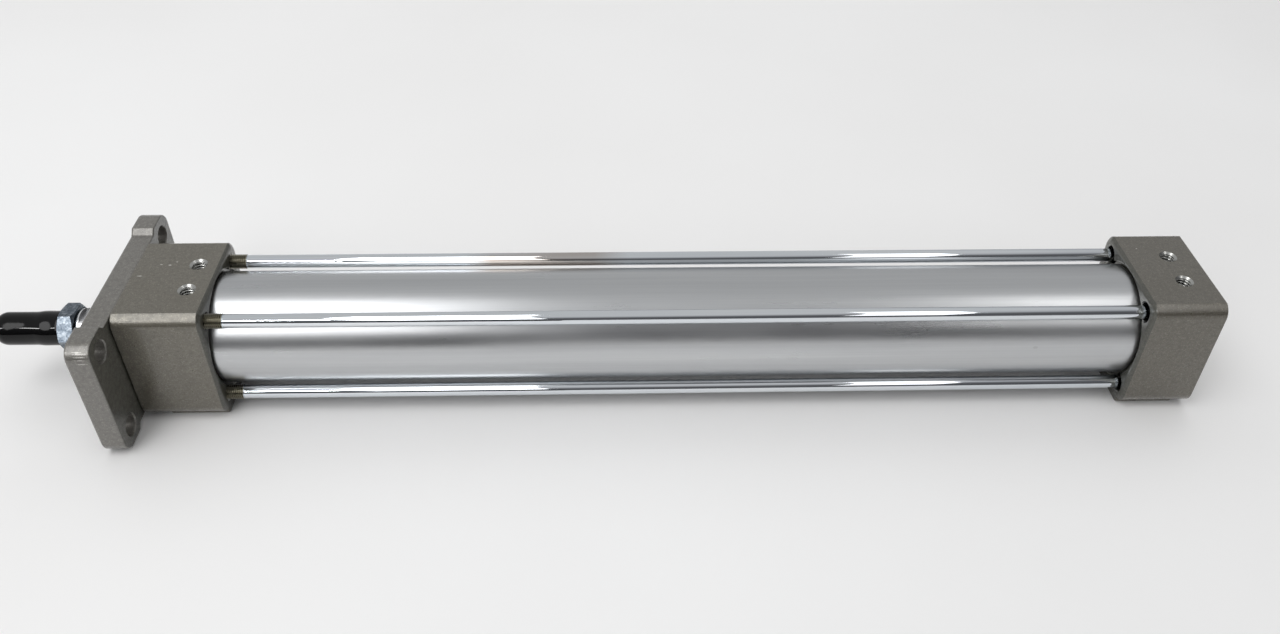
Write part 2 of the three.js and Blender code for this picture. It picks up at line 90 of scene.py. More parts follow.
def revolve(name, prof, seg, kind="x", at=(0, 0, 0), mat=0, thread=None, shape=None, turn=0.0):
    """prof: [(a, r)]; closes on itself when the first point is repeated, else ends on the axis.
    thread: (a0, a1, pitch, root, crest, fade) replaces r between a0 and a1 by a real helix."""
    A, U, V = axes(kind)
    O = Vector(at)
    closed = prof[0] == prof[-1]
    pts = list(prof[:-1]) if closed else list(prof)
    threads = thread if isinstance(thread, list) else ([thread] if thread else [])
    out = []
    for i, (a, r) in enumerate(pts):
        out.append((a, r, None))
        nxt = pts[(i + 1) % len(pts)] if (closed or i + 1 < len(pts)) else None
        if nxt is None:
            continue
        for t in threads:
            lo, hi = min(t[0], t[1]), max(t[0], t[1])
            if abs(min(a, nxt[0]) - lo) < 1e-6 and abs(max(a, nxt[0]) - hi) < 1e-6:
                n = max(4, int(round((hi - lo) / t[2] * 10)))
                for k in range(1, n):
                    out.append((a + (nxt[0] - a) * k / n, None, t))
    rings, verts = [], []
    for a, r, t in out:
        if t is None and r < 1e-9:
            rings.append([len(verts)])
            verts.append(O + A * a)
            continue
        ring = []
        for k in range(seg):
            th = 2 * math.pi * k / seg + turn
            if t is None:
                rr = r
            else:
                a0, a1, p, root, crest, fade = t
                ph = ((a - a0) / p - th / (2 * math.pi)) % 1.0
                tri = abs(2 * ph - 1)
                s = min(1.0, max(0.0, (tri - 0.14) / 0.70))
                s = s * s * (3 - 2 * s) * 0.35 + s * 0.65
                w = 1.0
                if fade:
                    w = min(1.0, max(0.0, (max(a0, a1) - a) / fade)) if fade > 0 else min(1.0, max(0.0, (a - min(a0, a1)) / -fade))
                rr = root + (crest - root) * (s * w + (1 - w) * (0.9 if crest > root else 0.0))
            if shape:
                rr = shape(a, th, rr)
            ring.append(len(verts))
            verts.append(O + A * a + U * (rr * math.cos(th)) + V * (rr * math.sin(th)))
        rings.append(ring)
    faces = []
    n = len(rings)
    for i in range(n if closed else n - 1):
        p, q = rings[i], rings[(i + 1) % n]
        for k in range(seg):
            l = (k + 1) % seg
            if len(p) == 1 and len(q) == 1:
                continue
            if len(p) == 1:
                faces.append((p[0], q[k], q[l]))
            elif len(q) == 1:
                faces.append((p[k], q[0], p[l]))
            else:
                faces.append((p[k], q[k], q[l], p[l]))
    return make(name, verts, faces, mat)


def rrect(hy, hz, r, n):
    out = []
    for cy, cz, a0 in ((hy - r, -hz + r, -90), (hy - r, hz - r, 0), (-hy + r, hz - r, 90), (-hy + r, -hz + r, 180)):
        for k in range(n + 1):
            a = math.radians(a0 + 90 * k / n)
            out.append((cy + r * math.cos(a), cz + r * math.sin(a)))
    return out


def fillet_outline(corners, d, n):
    """Outline of a polygon with rounded corners, moved inwards by d. corners: (y, z, r), counterclockwise."""
    out, m = [], len(corners)
    for i, (y, z, r) in enumerate(corners):
        P = Vector((y, z))
        A, B = Vector(corners[i - 1][:2]), Vector(corners[(i + 1) % m][:2])
        u, v = (A - P).normalized(), (B - P).normalized()
        half = math.acos(max(-1, min(1, u.dot(v)))) / 2
        bis = (u + v).normalized()
        C = P + bis * (r / math.sin(half))
        s0, s1 = P + u * (r / math.tan(half)) - C, P + v * (r / math.tan(half)) - C
        a0 = math.atan2(s0.y, s0.x)
        da = (math.atan2(s1.y, s1.x) - a0 + math.pi) % (2 * math.pi) - math.pi
        convex = (P - A).cross(B - P) > 0
        rr = max(r - d, 0.02) if convex else r + d
        for k in range(n + 1):
            t = a0 + da * k / n
            out.append((C.x + rr * math.cos(t), C.y + rr * math.sin(t)))
    return out


def head_section(d, n=16, R=6.0, stop=66.0):
    """Square head: each long edge is a round that meets the top or bottom at a visible crease."""
    h, r, e = SIDE / 2 - d, R - d, math.radians(stop)
    zc = h - r * math.sin(e)
    q = [(h - r + r * math.cos(e * k / n), zc + r * math.sin(e * k / n)) for k in range(n + 1)]
    return [(y, -z) for y, z in reversed(q)] + q + [(-y, z) for y, z in reversed(q)] + [(-y, -z) for y, z in q]


def ease(x, e, stop, sign, ne):
    """(x, inset) pairs from the end face inwards; stop is the angle left at the outer crease, in degrees."""
    if e <= 0:
        return [(x, 0.0)]
    s = math.radians(stop)
    out = []
    for k in range(ne + 1):
        a = math.pi / 2 - (math.pi / 2 - s) * k / ne
        out.append((x + sign * e * (1 - math.sin(a)), e * (math.cos(s) - math.cos(a))))
    return out


def loft(name, x0, x1, section, e0, e1, ne=5, mat=0):
    """section(inset) lofted along X. e0, e1: (radius, crease angle) of the eased ends."""
    secs = ease(x0, e0[0], e0[1], 1, ne) + list(reversed(ease(x1, e1[0], e1[1], -1, ne)))
    verts, faces = [], []
    for x, d in secs:
        ring = section(d)
        m = len(ring)
        verts += [(x, y, z) for y, z in ring]
    for i in range(len(secs) - 1):
        for k in range(m):
            l = (k + 1) % m
            faces.append((i * m + k, (i + 1) * m + k, (i + 1) * m + l, i * m + l))
    faces.append(tuple(range(m)))
    faces.append(tuple((len(secs) - 1) * m + k for k in range(m)))
    return make(name, verts, faces, mat)


def bar(name, x0, x1, hy, hz, r, ease0, ease1, n=10, ne=4, cy=0.0, cz=0.0, mat=0):
    """A rounded bar along X; its two ends are eased by a quarter round."""
    return loft(name, x0, x1, lambda d: [(cy + y, cz + z) for y, z in rrect(hy - d, hz - d, max(r - d, 0.02), n)], (ease0, 0), (ease1, 0), ne, mat)


def hexbar(name, x0, x1, af, cy=0.0, cz=0.0, turn=0.0, kind="x", mat=0, at=None):
    A, U, V = axes(kind)
    O = Vector(at) if at is not None else Vector((0, cy, cz))
    R = af / math.sqrt(3)
    verts = []
    for x in (x0, x1):
        for k in range(6):
            a = math.radians(60 * k + turn)
            verts.append(O + A * x + U * (R * math.cos(a)) + V * (R * math.sin(a)))
    faces = [tuple(range(6)), tuple(range(6, 12))] + [(k, 6 + k, 6 + (k + 1) % 6, (k + 1) % 6) for k in range(6)]
    return make(name, verts, faces, mat)


def join(obs, name):
    bm = bmesh.new()
    for o in obs:
        bm.from_mesh(o.data)
    me = bpy.data.meshes.new(name)
    bm.to_mesh(me)
    bm.free()
    for o in obs:
        drop(o)
    o = bpy.data.objects.new(name, me)
    bpy.context.scene.collection.objects.link(o)
    return o


def drop(o):
    me = o.data
    bpy.data.objects.remove(o)
    if me.users == 0:
        bpy.data.meshes.remove(me)


def boolean(o, cutter, op="DIFFERENCE"):
    for q in (o, cutter):
        if not q.data.materials:
            for m in (BASE0, BASE1, BASE2):
                q.data.materials.append(m)
    mod = o.modifiers.new("b", "BOOLEAN")
    mod.object, mod.operation, mod.solver = cutter, op, "EXACT"
    dg = bpy.context.evaluated_depsgraph_get()
    me = bpy.data.meshes.new_from_object(o.evaluated_get(dg))
    o.modifiers.clear()
    old = o.data
    o.data = me
    bpy.data.meshes.remove(old)
    drop(cutter)
    return o


def finish_piece(o, mats, body, nodes, angle=32, weighted=True, merge=0.0):
    me = o.data
    bm = bmesh.new()
    bm.from_mesh(me)
    bmesh.ops.remove_doubles(bm, verts=bm.verts, dist=2e-4)
    bmesh.ops.dissolve_degenerate(bm, edges=bm.edges, dist=1e-5)
    for v in bm.verts:
        v.co = Vector(((v.co.x + OX) / 1000, v.co.y / 1000, (v.co.z + OZ) / 1000))
    for f in bm.faces:
        f.smooth = True
    bm.to_mesh(me)
    bm.free()
    idx = [0] * len(me.polygons)
    me.polygons.foreach_get("material_index", idx)
    me.materials.clear()
    for m in mats:
        me.materials.append(m)
    me.polygons.foreach_set("material_index", [min(i, len(mats) - 1) for i in idx])
    me.set_sharp_from_angle(angle=math.radians(angle))
    if weighted:
        w = o.modifiers.new("wn", "WEIGHTED_NORMAL")
        w.keep_sharp = True
        w.weight = 80
    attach(o, body)
    if nodes:
        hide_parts(*nodes)
    return o


BASE0, BASE1, BASE2 = (bpy.data.materials.new(n) for n in ("work_a", "work_b", "work_c"))


# ---------------------------------------------------------------- materials
class Mat:
    def __init__(self, name, **sockets):
        self.m = bpy.data.materials.new(name)
        self.m.use_nodes = True
        self.t = self.m.node_tree
        self.b = self.t.nodes["Principled BSDF"]
        for k, v in sockets.items():
            k = k.replace("_", " ")
            if k == "Base Color":
                v = (*v, 1)
            self.b.inputs[k].default_value = v
        self.co = self.t.nodes.new("ShaderNodeTexCoord").outputs["Object"]

    def link(self, a, b):
        self.t.links.new(a, b)

    def scaled(self, sx, sy, sz, loc=(0, 0, 0)):
        n = self.t.nodes.new("ShaderNodeMapping")
        n.inputs["Scale"].default_value = (sx, sy, sz)
        n.inputs["Location"].default_value = loc
        self.link(self.co, n.inputs["Vector"])
        return n.outputs[0]

    def noise(self, vec, detail=3.0, rough=0.55, scale=1.0, dist=0.0):
        n = self.t.nodes.new("ShaderNodeTexNoise")
        n.inputs["Scale"].default_value = scale
        n.inputs["Detail"].default_value = detail
        n.inputs["Roughness"].default_value = rough
        n.inputs["Distortion"].default_value = dist
        self.link(vec, n.inputs["Vector"])
        return n.outputs["Fac"]

    def voronoi(self, vec, scale=1.0, out="Distance", feature="F1"):
        n = self.t.nodes.new("ShaderNodeTexVoronoi")
        n.feature = feature
        n.inputs["Scale"].default_value = scale
        self.link(vec, n.inputs["Vector"])
        return n.outputs[out]

    def ramp(self, fac, stops):
        n = self.t.nodes.new("ShaderNodeValToRGB")
        e = n.color_ramp.elements
        while len(e) < len(stops):
            e.new(0.5)
        for s, (p, c) in zip(e, stops):
            s.position = p
            s.color = (*c, 1) if isinstance(c, tuple) else (c, c, c, 1)
        self.link(fac, n.inputs["Fac"])
        return n.outputs["Color"]

    def mix(self, fac, a, b, mode="MIX"):
        n = self.t.nodes.new("ShaderNodeMix")
        n.data_type, n.blend_type = "RGBA", mode
        for s, v in ((n.inputs["Factor"], fac), (n.inputs["A"], a), (n.inputs["B"], b)):
            pass
        ins = {i.identifier: i for i in n.inputs}
        for key, v in (("Factor_Float", fac), ("A_Color", a), ("B_Color", b)):
            s = ins[key]
            if hasattr(v, "node"):
                self.link(v, s)
            elif key == "Factor_Float":
                s.default_value = v
            else:
                s.default_value = (*v, 1) if isinstance(v, tuple) else (v, v, v, 1)
        outs = {i.identifier: i for i in n.outputs}
        return outs["Result_Color"]

    def math(self, op, a, b=0.0, clamp=False):
        n = self.t.nodes.new("ShaderNodeMath")
        n.operation, n.use_clamp = op, clamp
        for s, v in zip(n.inputs, (a, b)):
            if hasattr(v, "node"):
                self.link(v, s)
            else:
                s.default_value = v
        return n.outputs[0]

    def bump(self, height, dist, strength=1.0, chain=None):
        n = self.t.nodes.new("ShaderNodeBump")
        n.inputs["Distance"].default_value = dist
        n.inputs["Strength"].default_value = strength
        self.link(height, n.inputs["Height"])
        if chain is not None:
            self.link(chain, n.inputs["Normal"])
        return n.outputs[0]

    def separate(self):
        n = self.t.nodes.new("ShaderNodeSeparateXYZ")
        self.link(self.co, n.inputs[0])
        return n.outputs

    def to(self, out, socket):
        self.link(out, self.b.inputs[socket])


def row(x, y, z):
    return Vector(((x + OX) / 1000, y / 1000, (z + OZ) / 1000))


# small bare marks: place, half sizes in metres
SCUFFS_HEAD = [((9.6, 8.0, 25.4), (0.5, 0.25, 0.5)), ((13.0, 7.6, 25.4), (0.7, 0.3, 0.5)), ((3.5, 0.8, 25.4), (1.1, 0.25, 0.5)), ((15.2, 9.6, 25.4), (0.35, 0.25, 0.5)),
               ((400.5, 13.5, 25.4), (0.35, 0.25, 0.5)), ((396.5, -24.3, 21.0), (0.5, 0.4, 0.5))]
SCUFFS_FLANGE = [((-3.8, -42.6, 24.4), (2.6, 1.4, 0.30)), ((-3.8, -43.2, 23.4), (2.6, 1.2, 0.26)), ((-3.6, -43.6, 22.3), (2.6, 1.2, 0.18)), ((-4.4, -42.2, 24.9), (1.8, 1.2, 0.16)), ((-3.4, -44.2, 20.6), (1.9, 1.0, 0.15))]


def cast_material(name, base, warm, rough=0.52, metal=0.35, coarse=1.0, spec=0.5, scuffs=()):
    """Grey-brown metallic paint over a cast surface: fine orange-peel, flakes, slight tone drift, tiny pale nicks."""
    m = Mat(name, Metallic=metal, Specular_IOR_Level=spec, Coat_Weight=1.0, Coat_Roughness=0.17)
    fine = m.noise(m.scaled(2600 / coarse, 2600 / coarse, 2600 / coarse), 2.0, 0.6)
    mid = m.noise(m.scaled(700 / coarse, 700 / coarse, 700 / coarse), 3.0, 0.6)
    wide = m.noise(m.scaled(60, 60, 60), 3.0, 0.5)
    flake = m.voronoi(m.scaled(3000, 3000, 3000), out="Color")
    sep = m.t.nodes.new("ShaderNodeSeparateColor")
    m.link(flake, sep.inputs[0])
    lo = tuple(v * 0.80 for v in base)
    hi = tuple(v * 1.18 for v in base)
    tone = m.ramp(mid, [(0.30, lo), (0.52, base), (0.72, hi)])
    drift = m.mix(m.ramp(wide, [(0.35, 0.0), (0.7, 0.5)]), tone, warm)
    spark = m.mix(m.ramp(sep.outputs[0], [(0.80, 0.0), (0.97, 0.28)]), drift, tuple(min(1, v * 2.2 + 0.05) for v in base))
    dots = m.voronoi(m.scaled(95, 95, 95), out="Distance")
    pick = m.voronoi(m.scaled(95, 95, 95), out="Color")
    psep = m.t.nodes.new("ShaderNodeSeparateColor")
    m.link(pick, psep.inputs[0])
    small = m.math("LESS_THAN", m.math("ADD", dots, m.math("MULTIPLY", fine, 0.05)), 0.075)
    rare = m.math("GREATER_THAN", psep.outputs[1], 0.90)
    nick = m.math("MULTIPLY", small, rare)
    col = m.mix(m.math("MULTIPLY", nick, 0.65), spark, (0.50, 0.48, 0.45))
    worn = None
    for at, half in scuffs:
        n = m.t.nodes.new("ShaderNodeMapping")
        n.inputs["Scale"].default_value = tuple(1000 / h for h in half)
        n.inputs["Location"].default_value = tuple(-c * 1000 / h for c, h in zip(row(*at), half))
        m.link(m.co, n.inputs["Vector"])
        ln = m.t.nodes.new("ShaderNodeVectorMath")
        ln.operation = "LENGTH"
        m.link(n.outputs[0], ln.inputs[0])
        edge = m.math("ADD", ln.outputs["Value"], m.math("MULTIPLY", m.math("SUBTRACT", fine, 0.5), 1.6))
        here = m.math("SUBTRACT", 1.15, edge, True)
        worn = here if worn is None else m.math("MAXIMUM", worn, here)
    if worn is not None:
        col = m.mix(m.math("MULTIPLY", worn, 1.3, True), col, (0.62, 0.60, 0.56))
    m.to(col, "Base Color")
    r = m.ramp(mid, [(0.3, rough + 0.10), (0.7, rough - 0.08)])
    m.to(m.math("SUBTRACT", r, m.math("MULTIPLY", sep.outputs[1], 0.08)), "Roughness")
    b1 = m.bump(mid, 0.00016 * coarse, 0.6)
    b2 = m.bump(fine, 0.00007 * coarse, 0.8, b1)
    m.to(b2, "Normal")
    return m.m


def machined_material(name, base, rough, line=2500.0, axis=0, bump=0.000004):
    """Turned or bored metal: fine lines across one axis."""
    m = Mat(name, Metallic=1.0, Base_Color=base)
    s = [120.0, 120.0, 120.0]
    s[axis] = line
    n = m.noise(m.scaled(*s), 2.0, 0.6)
    w = m.noise(m.scaled(90, 90, 90), 3.0, 0.55)
    m.to(m.mix(m.ramp(w, [(0.3, 0.0), (0.75, 0.5)]), base, tuple(v * 0.72 for v in base)), "Base Color")
    m.to(m.ramp(n, [(0.25, rough * 0.75), (0.75, min(1.0, rough * 1.4))]), "Roughness")
    m.to(m.bump(n, bump, 0.8), "Normal")
    return m.m


def tube_material():
    """Drawn, clear anodised aluminium: satin, streaked along the length."""
    m = Mat("tube_satin_anodised", Metallic=1.0, Anisotropic=0.15)
    m.b.inputs["Roughness"].default_value = 0.28
    line = m.noise(m.scaled(9, 1500, 1500), 4.0, 0.65)
    broad = m.noise(m.scaled(4, 190, 190), 3.0, 0.6)
    cloud = m.noise(m.scaled(18, 60, 60), 3.0, 0.5)
    c = m.ramp(broad, [(0.25, (0.53, 0.54, 0.55)), (0.5, (0.585, 0.595, 0.605)), (0.8, (0.64, 0.65, 0.655))])
    c = m.mix(m.ramp(line, [(0.35, 0.0), (0.8, 0.35)]), c, (0.48, 0.49, 0.505))
    dots = m.voronoi(m.scaled(70, 120, 120), out="Distance")
    pick = m.voronoi(m.scaled(70, 120, 120), out="Color")
    ps = m.t.nodes.new("ShaderNodeSeparateColor")
    m.link(pick, ps.inputs[0])
    mark = m.math("MULTIPLY", m.math("LESS_THAN", dots, 0.07), m.math("GREATER_THAN", ps.outputs[0], 0.93))
    m.to(m.mix(m.math("MULTIPLY", mark, 0.35), c, (0.35, 0.35, 0.36)), "Base Color")
    r = m.ramp(cloud, [(0.3, 0.24), (0.7, 0.31)])
    m.to(m.math("ADD", r, m.math("MULTIPLY", line, 0.05)), "Roughness")
    m.to(m.bump(line, 0.000004, 0.6), "Normal")
    t = m.t.nodes.new("ShaderNodeTangent")
    t.direction_type, t.axis = "RADIAL", "X"
    m.to(t.outputs[0], "Tangent")
    return m.m


def zinc_rod_material(name, stain=False):
    """Bright zinc plate on drawn rod, lengthwise streaks, a faint brown passivation patch where asked."""
    m = Mat(name, Metallic=1.0)
    line = m.noise(m.scaled(12, 2200, 2200), 3.0, 0.6)
    patch = m.noise(m.scaled(7, 150, 150), 2.0, 0.5)
    c = m.ramp(patch, [(0.3, (0.74, 0.78, 0.82)), (0.6, (0.80, 0.83, 0.86)), (0.85, (0.84, 0.86, 0.86))])
    x, y, z = m.separate()
    if stain:
        a = m.math("MULTIPLY", m.math("SUBTRACT", x, -0.055), 90.0, True)
        b = m.math("MULTIPLY", m.math("SUBTRACT", 0.012, x), 70.0, True)
        k = m.math("MULTIPLY", m.math("MULTIPLY", a, b, True), m.ramp(patch, [(0.35, 0.15), (0.7, 0.85)]))
        c = m.mix(k, c, (0.33, 0.22, 0.13))
    m.to(c, "Base Color")
    m.to(m.ramp(line, [(0.3, 0.035), (0.75, 0.055)]), "Roughness")
    m.to(m.bump(line, 0.0000004, 0.3), "Normal")
    return m.m


def mottled_zinc():
    """Blue-white zinc plate on a turned and stamped nut: bright, mottled, softly pitted."""
    m = Mat("zinc_blue_white", Metallic=1.0)
    n = m.noise(m.scaled(650, 650, 650), 3.0, 0.65, dist=0.6)
    f = m.noise(m.scaled(2600, 2600, 2600), 2.0, 0.6)
    m.to(m.ramp(n, [(0.30, (0.08, 0.10, 0.125)), (0.5, (0.17, 0.20, 0.235)), (0.72, (0.38, 0.415, 0.45))]), "Base Color")
    m.to(m.ramp(n, [(0.3, 0.42), (0.75, 0.26)]), "Roughness")
    m.to(m.bump(f, 0.00003, 0.5, m.bump(n, 0.00012, 0.7)), "Normal")
    return m.m


def chrome_material():
    """Ground and hard chromed: mirror with a very fine lead round the rod."""
    m = Mat("hard_chrome_ground", Metallic=1.0)
    n = m.noise(m.scaled(5200, 60, 60), 2.0, 0.5)
    w = m.noise(m.scaled(30, 80, 80), 3.0, 0.5)
    m.to(m.ramp(w, [(0.3, (0.78, 0.79, 0.80)), (0.7, (0.86, 0.87, 0.88))]), "Base Color")
    m.to(m.ramp(n, [(0.3, 0.05), (0.7, 0.11)]), "Roughness")
    m.to(m.bump(n, 0.0000012, 0.5), "Normal")
    return m.m


def vinyl_material():
    """Dipped black vinyl: glossy, slightly wavy, a little dust."""
    m = Mat("vinyl_black_dipped", Specular_IOR_Level=0.26)
    w = m.noise(m.scaled(120, 160, 160), 2.0, 0.5)
    f = m.noise(m.scaled(1600, 1600, 1600), 3.0, 0.6)
    m.to(m.ramp(f, [(0.45, (0.0022, 0.0022, 0.0024)), (0.8, (0.0045, 0.0045, 0.0046))]), "Base Color")
    m.to(m.ramp(w, [(0.3, 0.035), (0.7, 0.075)]), "Roughness")
    m.to(m.bump(f, 0.000001, 0.3, m.bump(w, 0.00006, 0.4)), "Normal")
    return m.m


def soft_material(name, lo, hi, rough, scale=900.0, bump=0.00002):
    m = Mat(name)
    n = m.noise(m.scaled(scale, scale, scale), 3.0, 0.6)
    m.to(m.ramp(n, [(0.3, lo), (0.75, hi)]), "Base Color")
    m.to(m.ramp(n, [(0.3, rough + 0.08), (0.7, rough - 0.05)]), "Roughness")
    m.to(m.bump(n, bump, 0.5), "Normal")
    return m.m


CAST = cast_material("cast_paint_taupe", (0.138, 0.127, 0.101), (0.122, 0.110, 0.084), rough=0.40, metal=0.55, scuffs=SCUFFS_HEAD)
CAST_FL = cast_material("cast_paint_flange", (0.158, 0.150, 0.134), (0.143, 0.137, 0.124), rough=0.46, metal=0.45, coarse=1.15, scuffs=SCUFFS_FLANGE)
# Rear cover: the same paint made darker than the head's copy, as painted shade for the softer light on the cover.
CAST_CV_PAINTED_SHADE = cast_material("cast_paint_cover_painted_shade", (0.116, 0.106, 0.085), (0.103, 0.093, 0.071), rough=0.38, metal=0.55, scuffs=SCUFFS_HEAD)
# Darker copy of the paint used as painted shade: on the flange's back face and on the tube-side crease bands of the
# head and rear cover.
CAST_PAINTED_SHADE = cast_material("cast_paint_painted_shade", (0.066, 0.065, 0.052), (0.056, 0.055, 0.044), rough=0.52, metal=0.35, coarse=1.15)
BORED = machined_material("bored_aluminium", (0.50, 0.50, 0.48), 0.24, line=2400, axis=2)
BORED_X = machined_material("faced_aluminium", (0.50, 0.50, 0.47), 0.30, line=1800, axis=0)
TUBE = tube_material()
ZROD = zinc_rod_material("zinc_drawn_rod")
ZROD_ST = zinc_rod_material("zinc_drawn_rod_stained", stain=True)
ZTHREAD = machined_material("zinc_thread", (0.27, 0.255, 0.20), 0.26, line=900, axis=1, bump=0.00001)
ZNUT = mottled_zinc()
CHROME = chrome_material()
VINYL = vinyl_material()
BLACKOX = machined_material("black_oxide_steel", (0.055, 0.056, 0.060), 0.34, line=1500, axis=0, bump=0.00001)
STEEL = machined_material("turned_steel", (0.50, 0.50, 0.51), 0.26, line=2600, axis=0, bump=0.000006)
PISTON_AL = machined_material("turned_aluminium", (0.72, 0.73, 0.74), 0.28, line=2200, axis=0)
BRONZE = machined_material("sintered_bronze", (0.56, 0.36, 0.16), 0.38, line=500, axis=0, bump=0.00002)
RUBBER = soft_material("nitrile_black", (0.010, 0.010, 0.010), (0.022, 0.022, 0.022), 0.48)
PU = soft_material("urethane_green", (0.030, 0.085, 0.050), (0.045, 0.120, 0.070), 0.42)
PTFE = soft_material("filled_ptfe", (0.050, 0.030, 0.020), (0.085, 0.055, 0.035), 0.55)

# ---------------------------------------------------------------- front flange
M_HEAD = [CAST, BORED, BORED_X, CAST_PAINTED_SHADE]


def flange():
    q = [(FL_HY, -FL_HZ, FL_R), (FL_HY, FL_HZ, FL_R), (WAIST_HY + WAIST_RAMP, FL_HZ, 1.2), (WAIST_HY, WAIST_HZ, 1.6)]
    corners = q + [(-y, z, r) for y, z, r in reversed(q[1:])] + [(-y, -z, r) for y, z, r in q[1:]] + [(y, -z, r) for y, z, r in reversed(q[2:])]
    o = loft("front_flange_casting", -FL_T, -0.3, lambda d: fillet_outline(corners, d, 12), (1.1, 0), (0.6, 8), ne=5)
    cut = [revolve("c", [(-20, 0), (-20, 15.6), (-FL_T - 0.01, 15.6), (-FL_T + 0.9, 14.7), (5, 14.7), (5, 0)], 96, mat=1)]
    for a, b in CORNERS:
        at = (0, a * FL_Y, b * FL_Z)
        cut.append(revolve("c", [(-20, 0), (-20, 5.0), (-FL_T - 0.01, 5.0), (-FL_T + 0.65, FL_HOLE_R), (-0.75, FL_HOLE_R), (-0.29, FL_HOLE_R + 0.35), (5, FL_HOLE_R + 0.35), (5, 0)], 56, at=at, mat=0))
        at = (0, a * TIE, b * TIE)
        cut.append(revolve("c", [(-20, 0), (-20, 5.75), (-FL_T - 0.01, 5.75), (-FL_T + 0.35, 5.4), (-FL_T + 6.6, 5.4), (-FL_T + 6.6, 3.3), (5, 3.3), (5, 0)], 48, at=at, mat=1))
    o = boolean(o, join(cut, "cut"))
    # Painted shade: the flange's back face, turned towards the head, takes the darker copy of the paint.
    for p in o.data.polygons:
        if p.normal.x > 0.9 and p.center.x > -0.7:
            p.material_index = 2
    return o


fl = finish_piece(flange(), [CAST_FL, BORED, CAST_PAINTED_SHADE], "barrel", ["front_flange"])


# ---------------------------------------------------------------- head and cover
def tapped_cutter(x, y):
    """1/4-20: countersink, full helix, drill point."""
    d0 = SIDE / 2
    return revolve("tap", [(-1.0, 0), (-1.0, 3.55), (0.0, 3.45), (0.75, 2.62), (11.0, 2.62), (12.4, 0)], 48, "-z", (x, y, d0), 1,
                   thread=(0.75, 11.0, 1.27, 2.58, 3.24, 0.0))


def port_cutter(x):
    d0 = -SIDE / 2 - PAD_H
    return revolve("port", [(-1.0, 0), (-1.0, 8.9), (0.0, 8.75), (0.8, 8.0), (12.4, 7.3), (12.4, 4.2), (17.0, 4.2), (17.0, 0)], 72, "z", (x, 0, d0), 1,
                   thread=(0.8, 12.4, 1.411, 7.35, 8.25, 0.0))


def needle_cutter(x):
    return revolve("ndl", [(-1.0, 0), (-1.0, 4.8), (0.0, 4.7), (0.55, 4.1), (8.6, 4.1), (10.2, 1.7), (15.0, 1.7), (15.0, 0)], 48, "-y", (x, SIDE / 2, 0), 1)


def tie_thread_cutter(x):
    out = []
    for a, b in CORNERS:
        out.append(revolve("tt", [(x - 14.5, 0), (x - 14.0, 3.05), (x - 0.45, 3.05), (x + 0.0, 3.55), (x + 2, 3.55), (x + 2, 0)], 32, at=(0, a * TIE, b * TIE), mat=1))
    return out


def head():
    h = SIDE / 2
    o = loft("front_head_casting", 0, HEAD_L, head_section, (0.4, 0), (2.9, 36))
    pad = bar("pad", HEAD_L - PAD_L, HEAD_L - 0.35, PAD_HY, 5, 1.4, 0.8, 0.8, n=4, ne=3, cz=-h - PAD_H + 5)
    boolean(o, pad, "UNION")
    # bore from the flange side: gland seat, gland bore, cushion bore
    e = HEAD_L + 6.0
    boolean(o, revolve("lip", [(HEAD_L - 0.35, 18.7), (HEAD_L - 0.35, RECESS_R + 0.3), (HEAD_L + 3, RECESS_R + 0.7), (HEAD_L + 3, 18.7), (HEAD_L - 0.35, 18.7)], 160, mat=2))
    boolean(o, revolve("rec", [(HEAD_L - 1.6, 18.7), (HEAD_L - 1.6, RECESS_R), (HEAD_L + 3, RECESS_R), (HEAD_L + 3, 18.7), (HEAD_L - 1.6, 18.7)], 160, mat=0))
    sp = revolve("sp", [(HEAD_L - 4, 0), (HEAD_L - 4, 18.7), (HEAD_L + 1.6, 18.7), (HEAD_L + 1.6, 16.75), (HEAD_L + 4.3, 16.75), (HEAD_L + 4.3, 18.7), (e - 0.8, 18.7), (e, 17.9), (e, 0)], 96, mat=2)
    boolean(o, sp, "UNION")
    boolean(o, revolve("bore", [(-2, 0), (-2, 17.6), (-0.01, 17.6), (0.3, 17.3), (5.6, 17.3), (5.6, 14.6), (14.6, 14.6), (14.6, 12.0), (HEAD_L + 0.5, 12.0), (HEAD_L + 0.5, 13.6), (HEAD_L + 4.5, 13.6), (HEAD_L + 4.5, 12.0), (e - 0.8, 12.0), (e + 0.5, 13.3), (e + 0.5, 0)], 96, mat=2))
    boolean(o, join([tapped_cutter(TAP_FX, -TAP_Y), tapped_cutter(TAP_FX, TAP_Y)] + tie_thread_cutter(HEAD_L), "cut"))
    scr = [revolve("sc", [(-2, 0), (-2, 3.4), (0.01, 3.4), (0.4, 3.0), (13.0, 3.0), (14.4, 0)], 24, at=(0, a * TIE, b * TIE), mat=1) for a, b in CORNERS]
    boolean(o, join(scr, "cut"))
    boolean(o, port_cutter(HEAD_L - PORT_X))
    boolean(o, needle_cutter(HEAD_L - PORT_X))
    return o


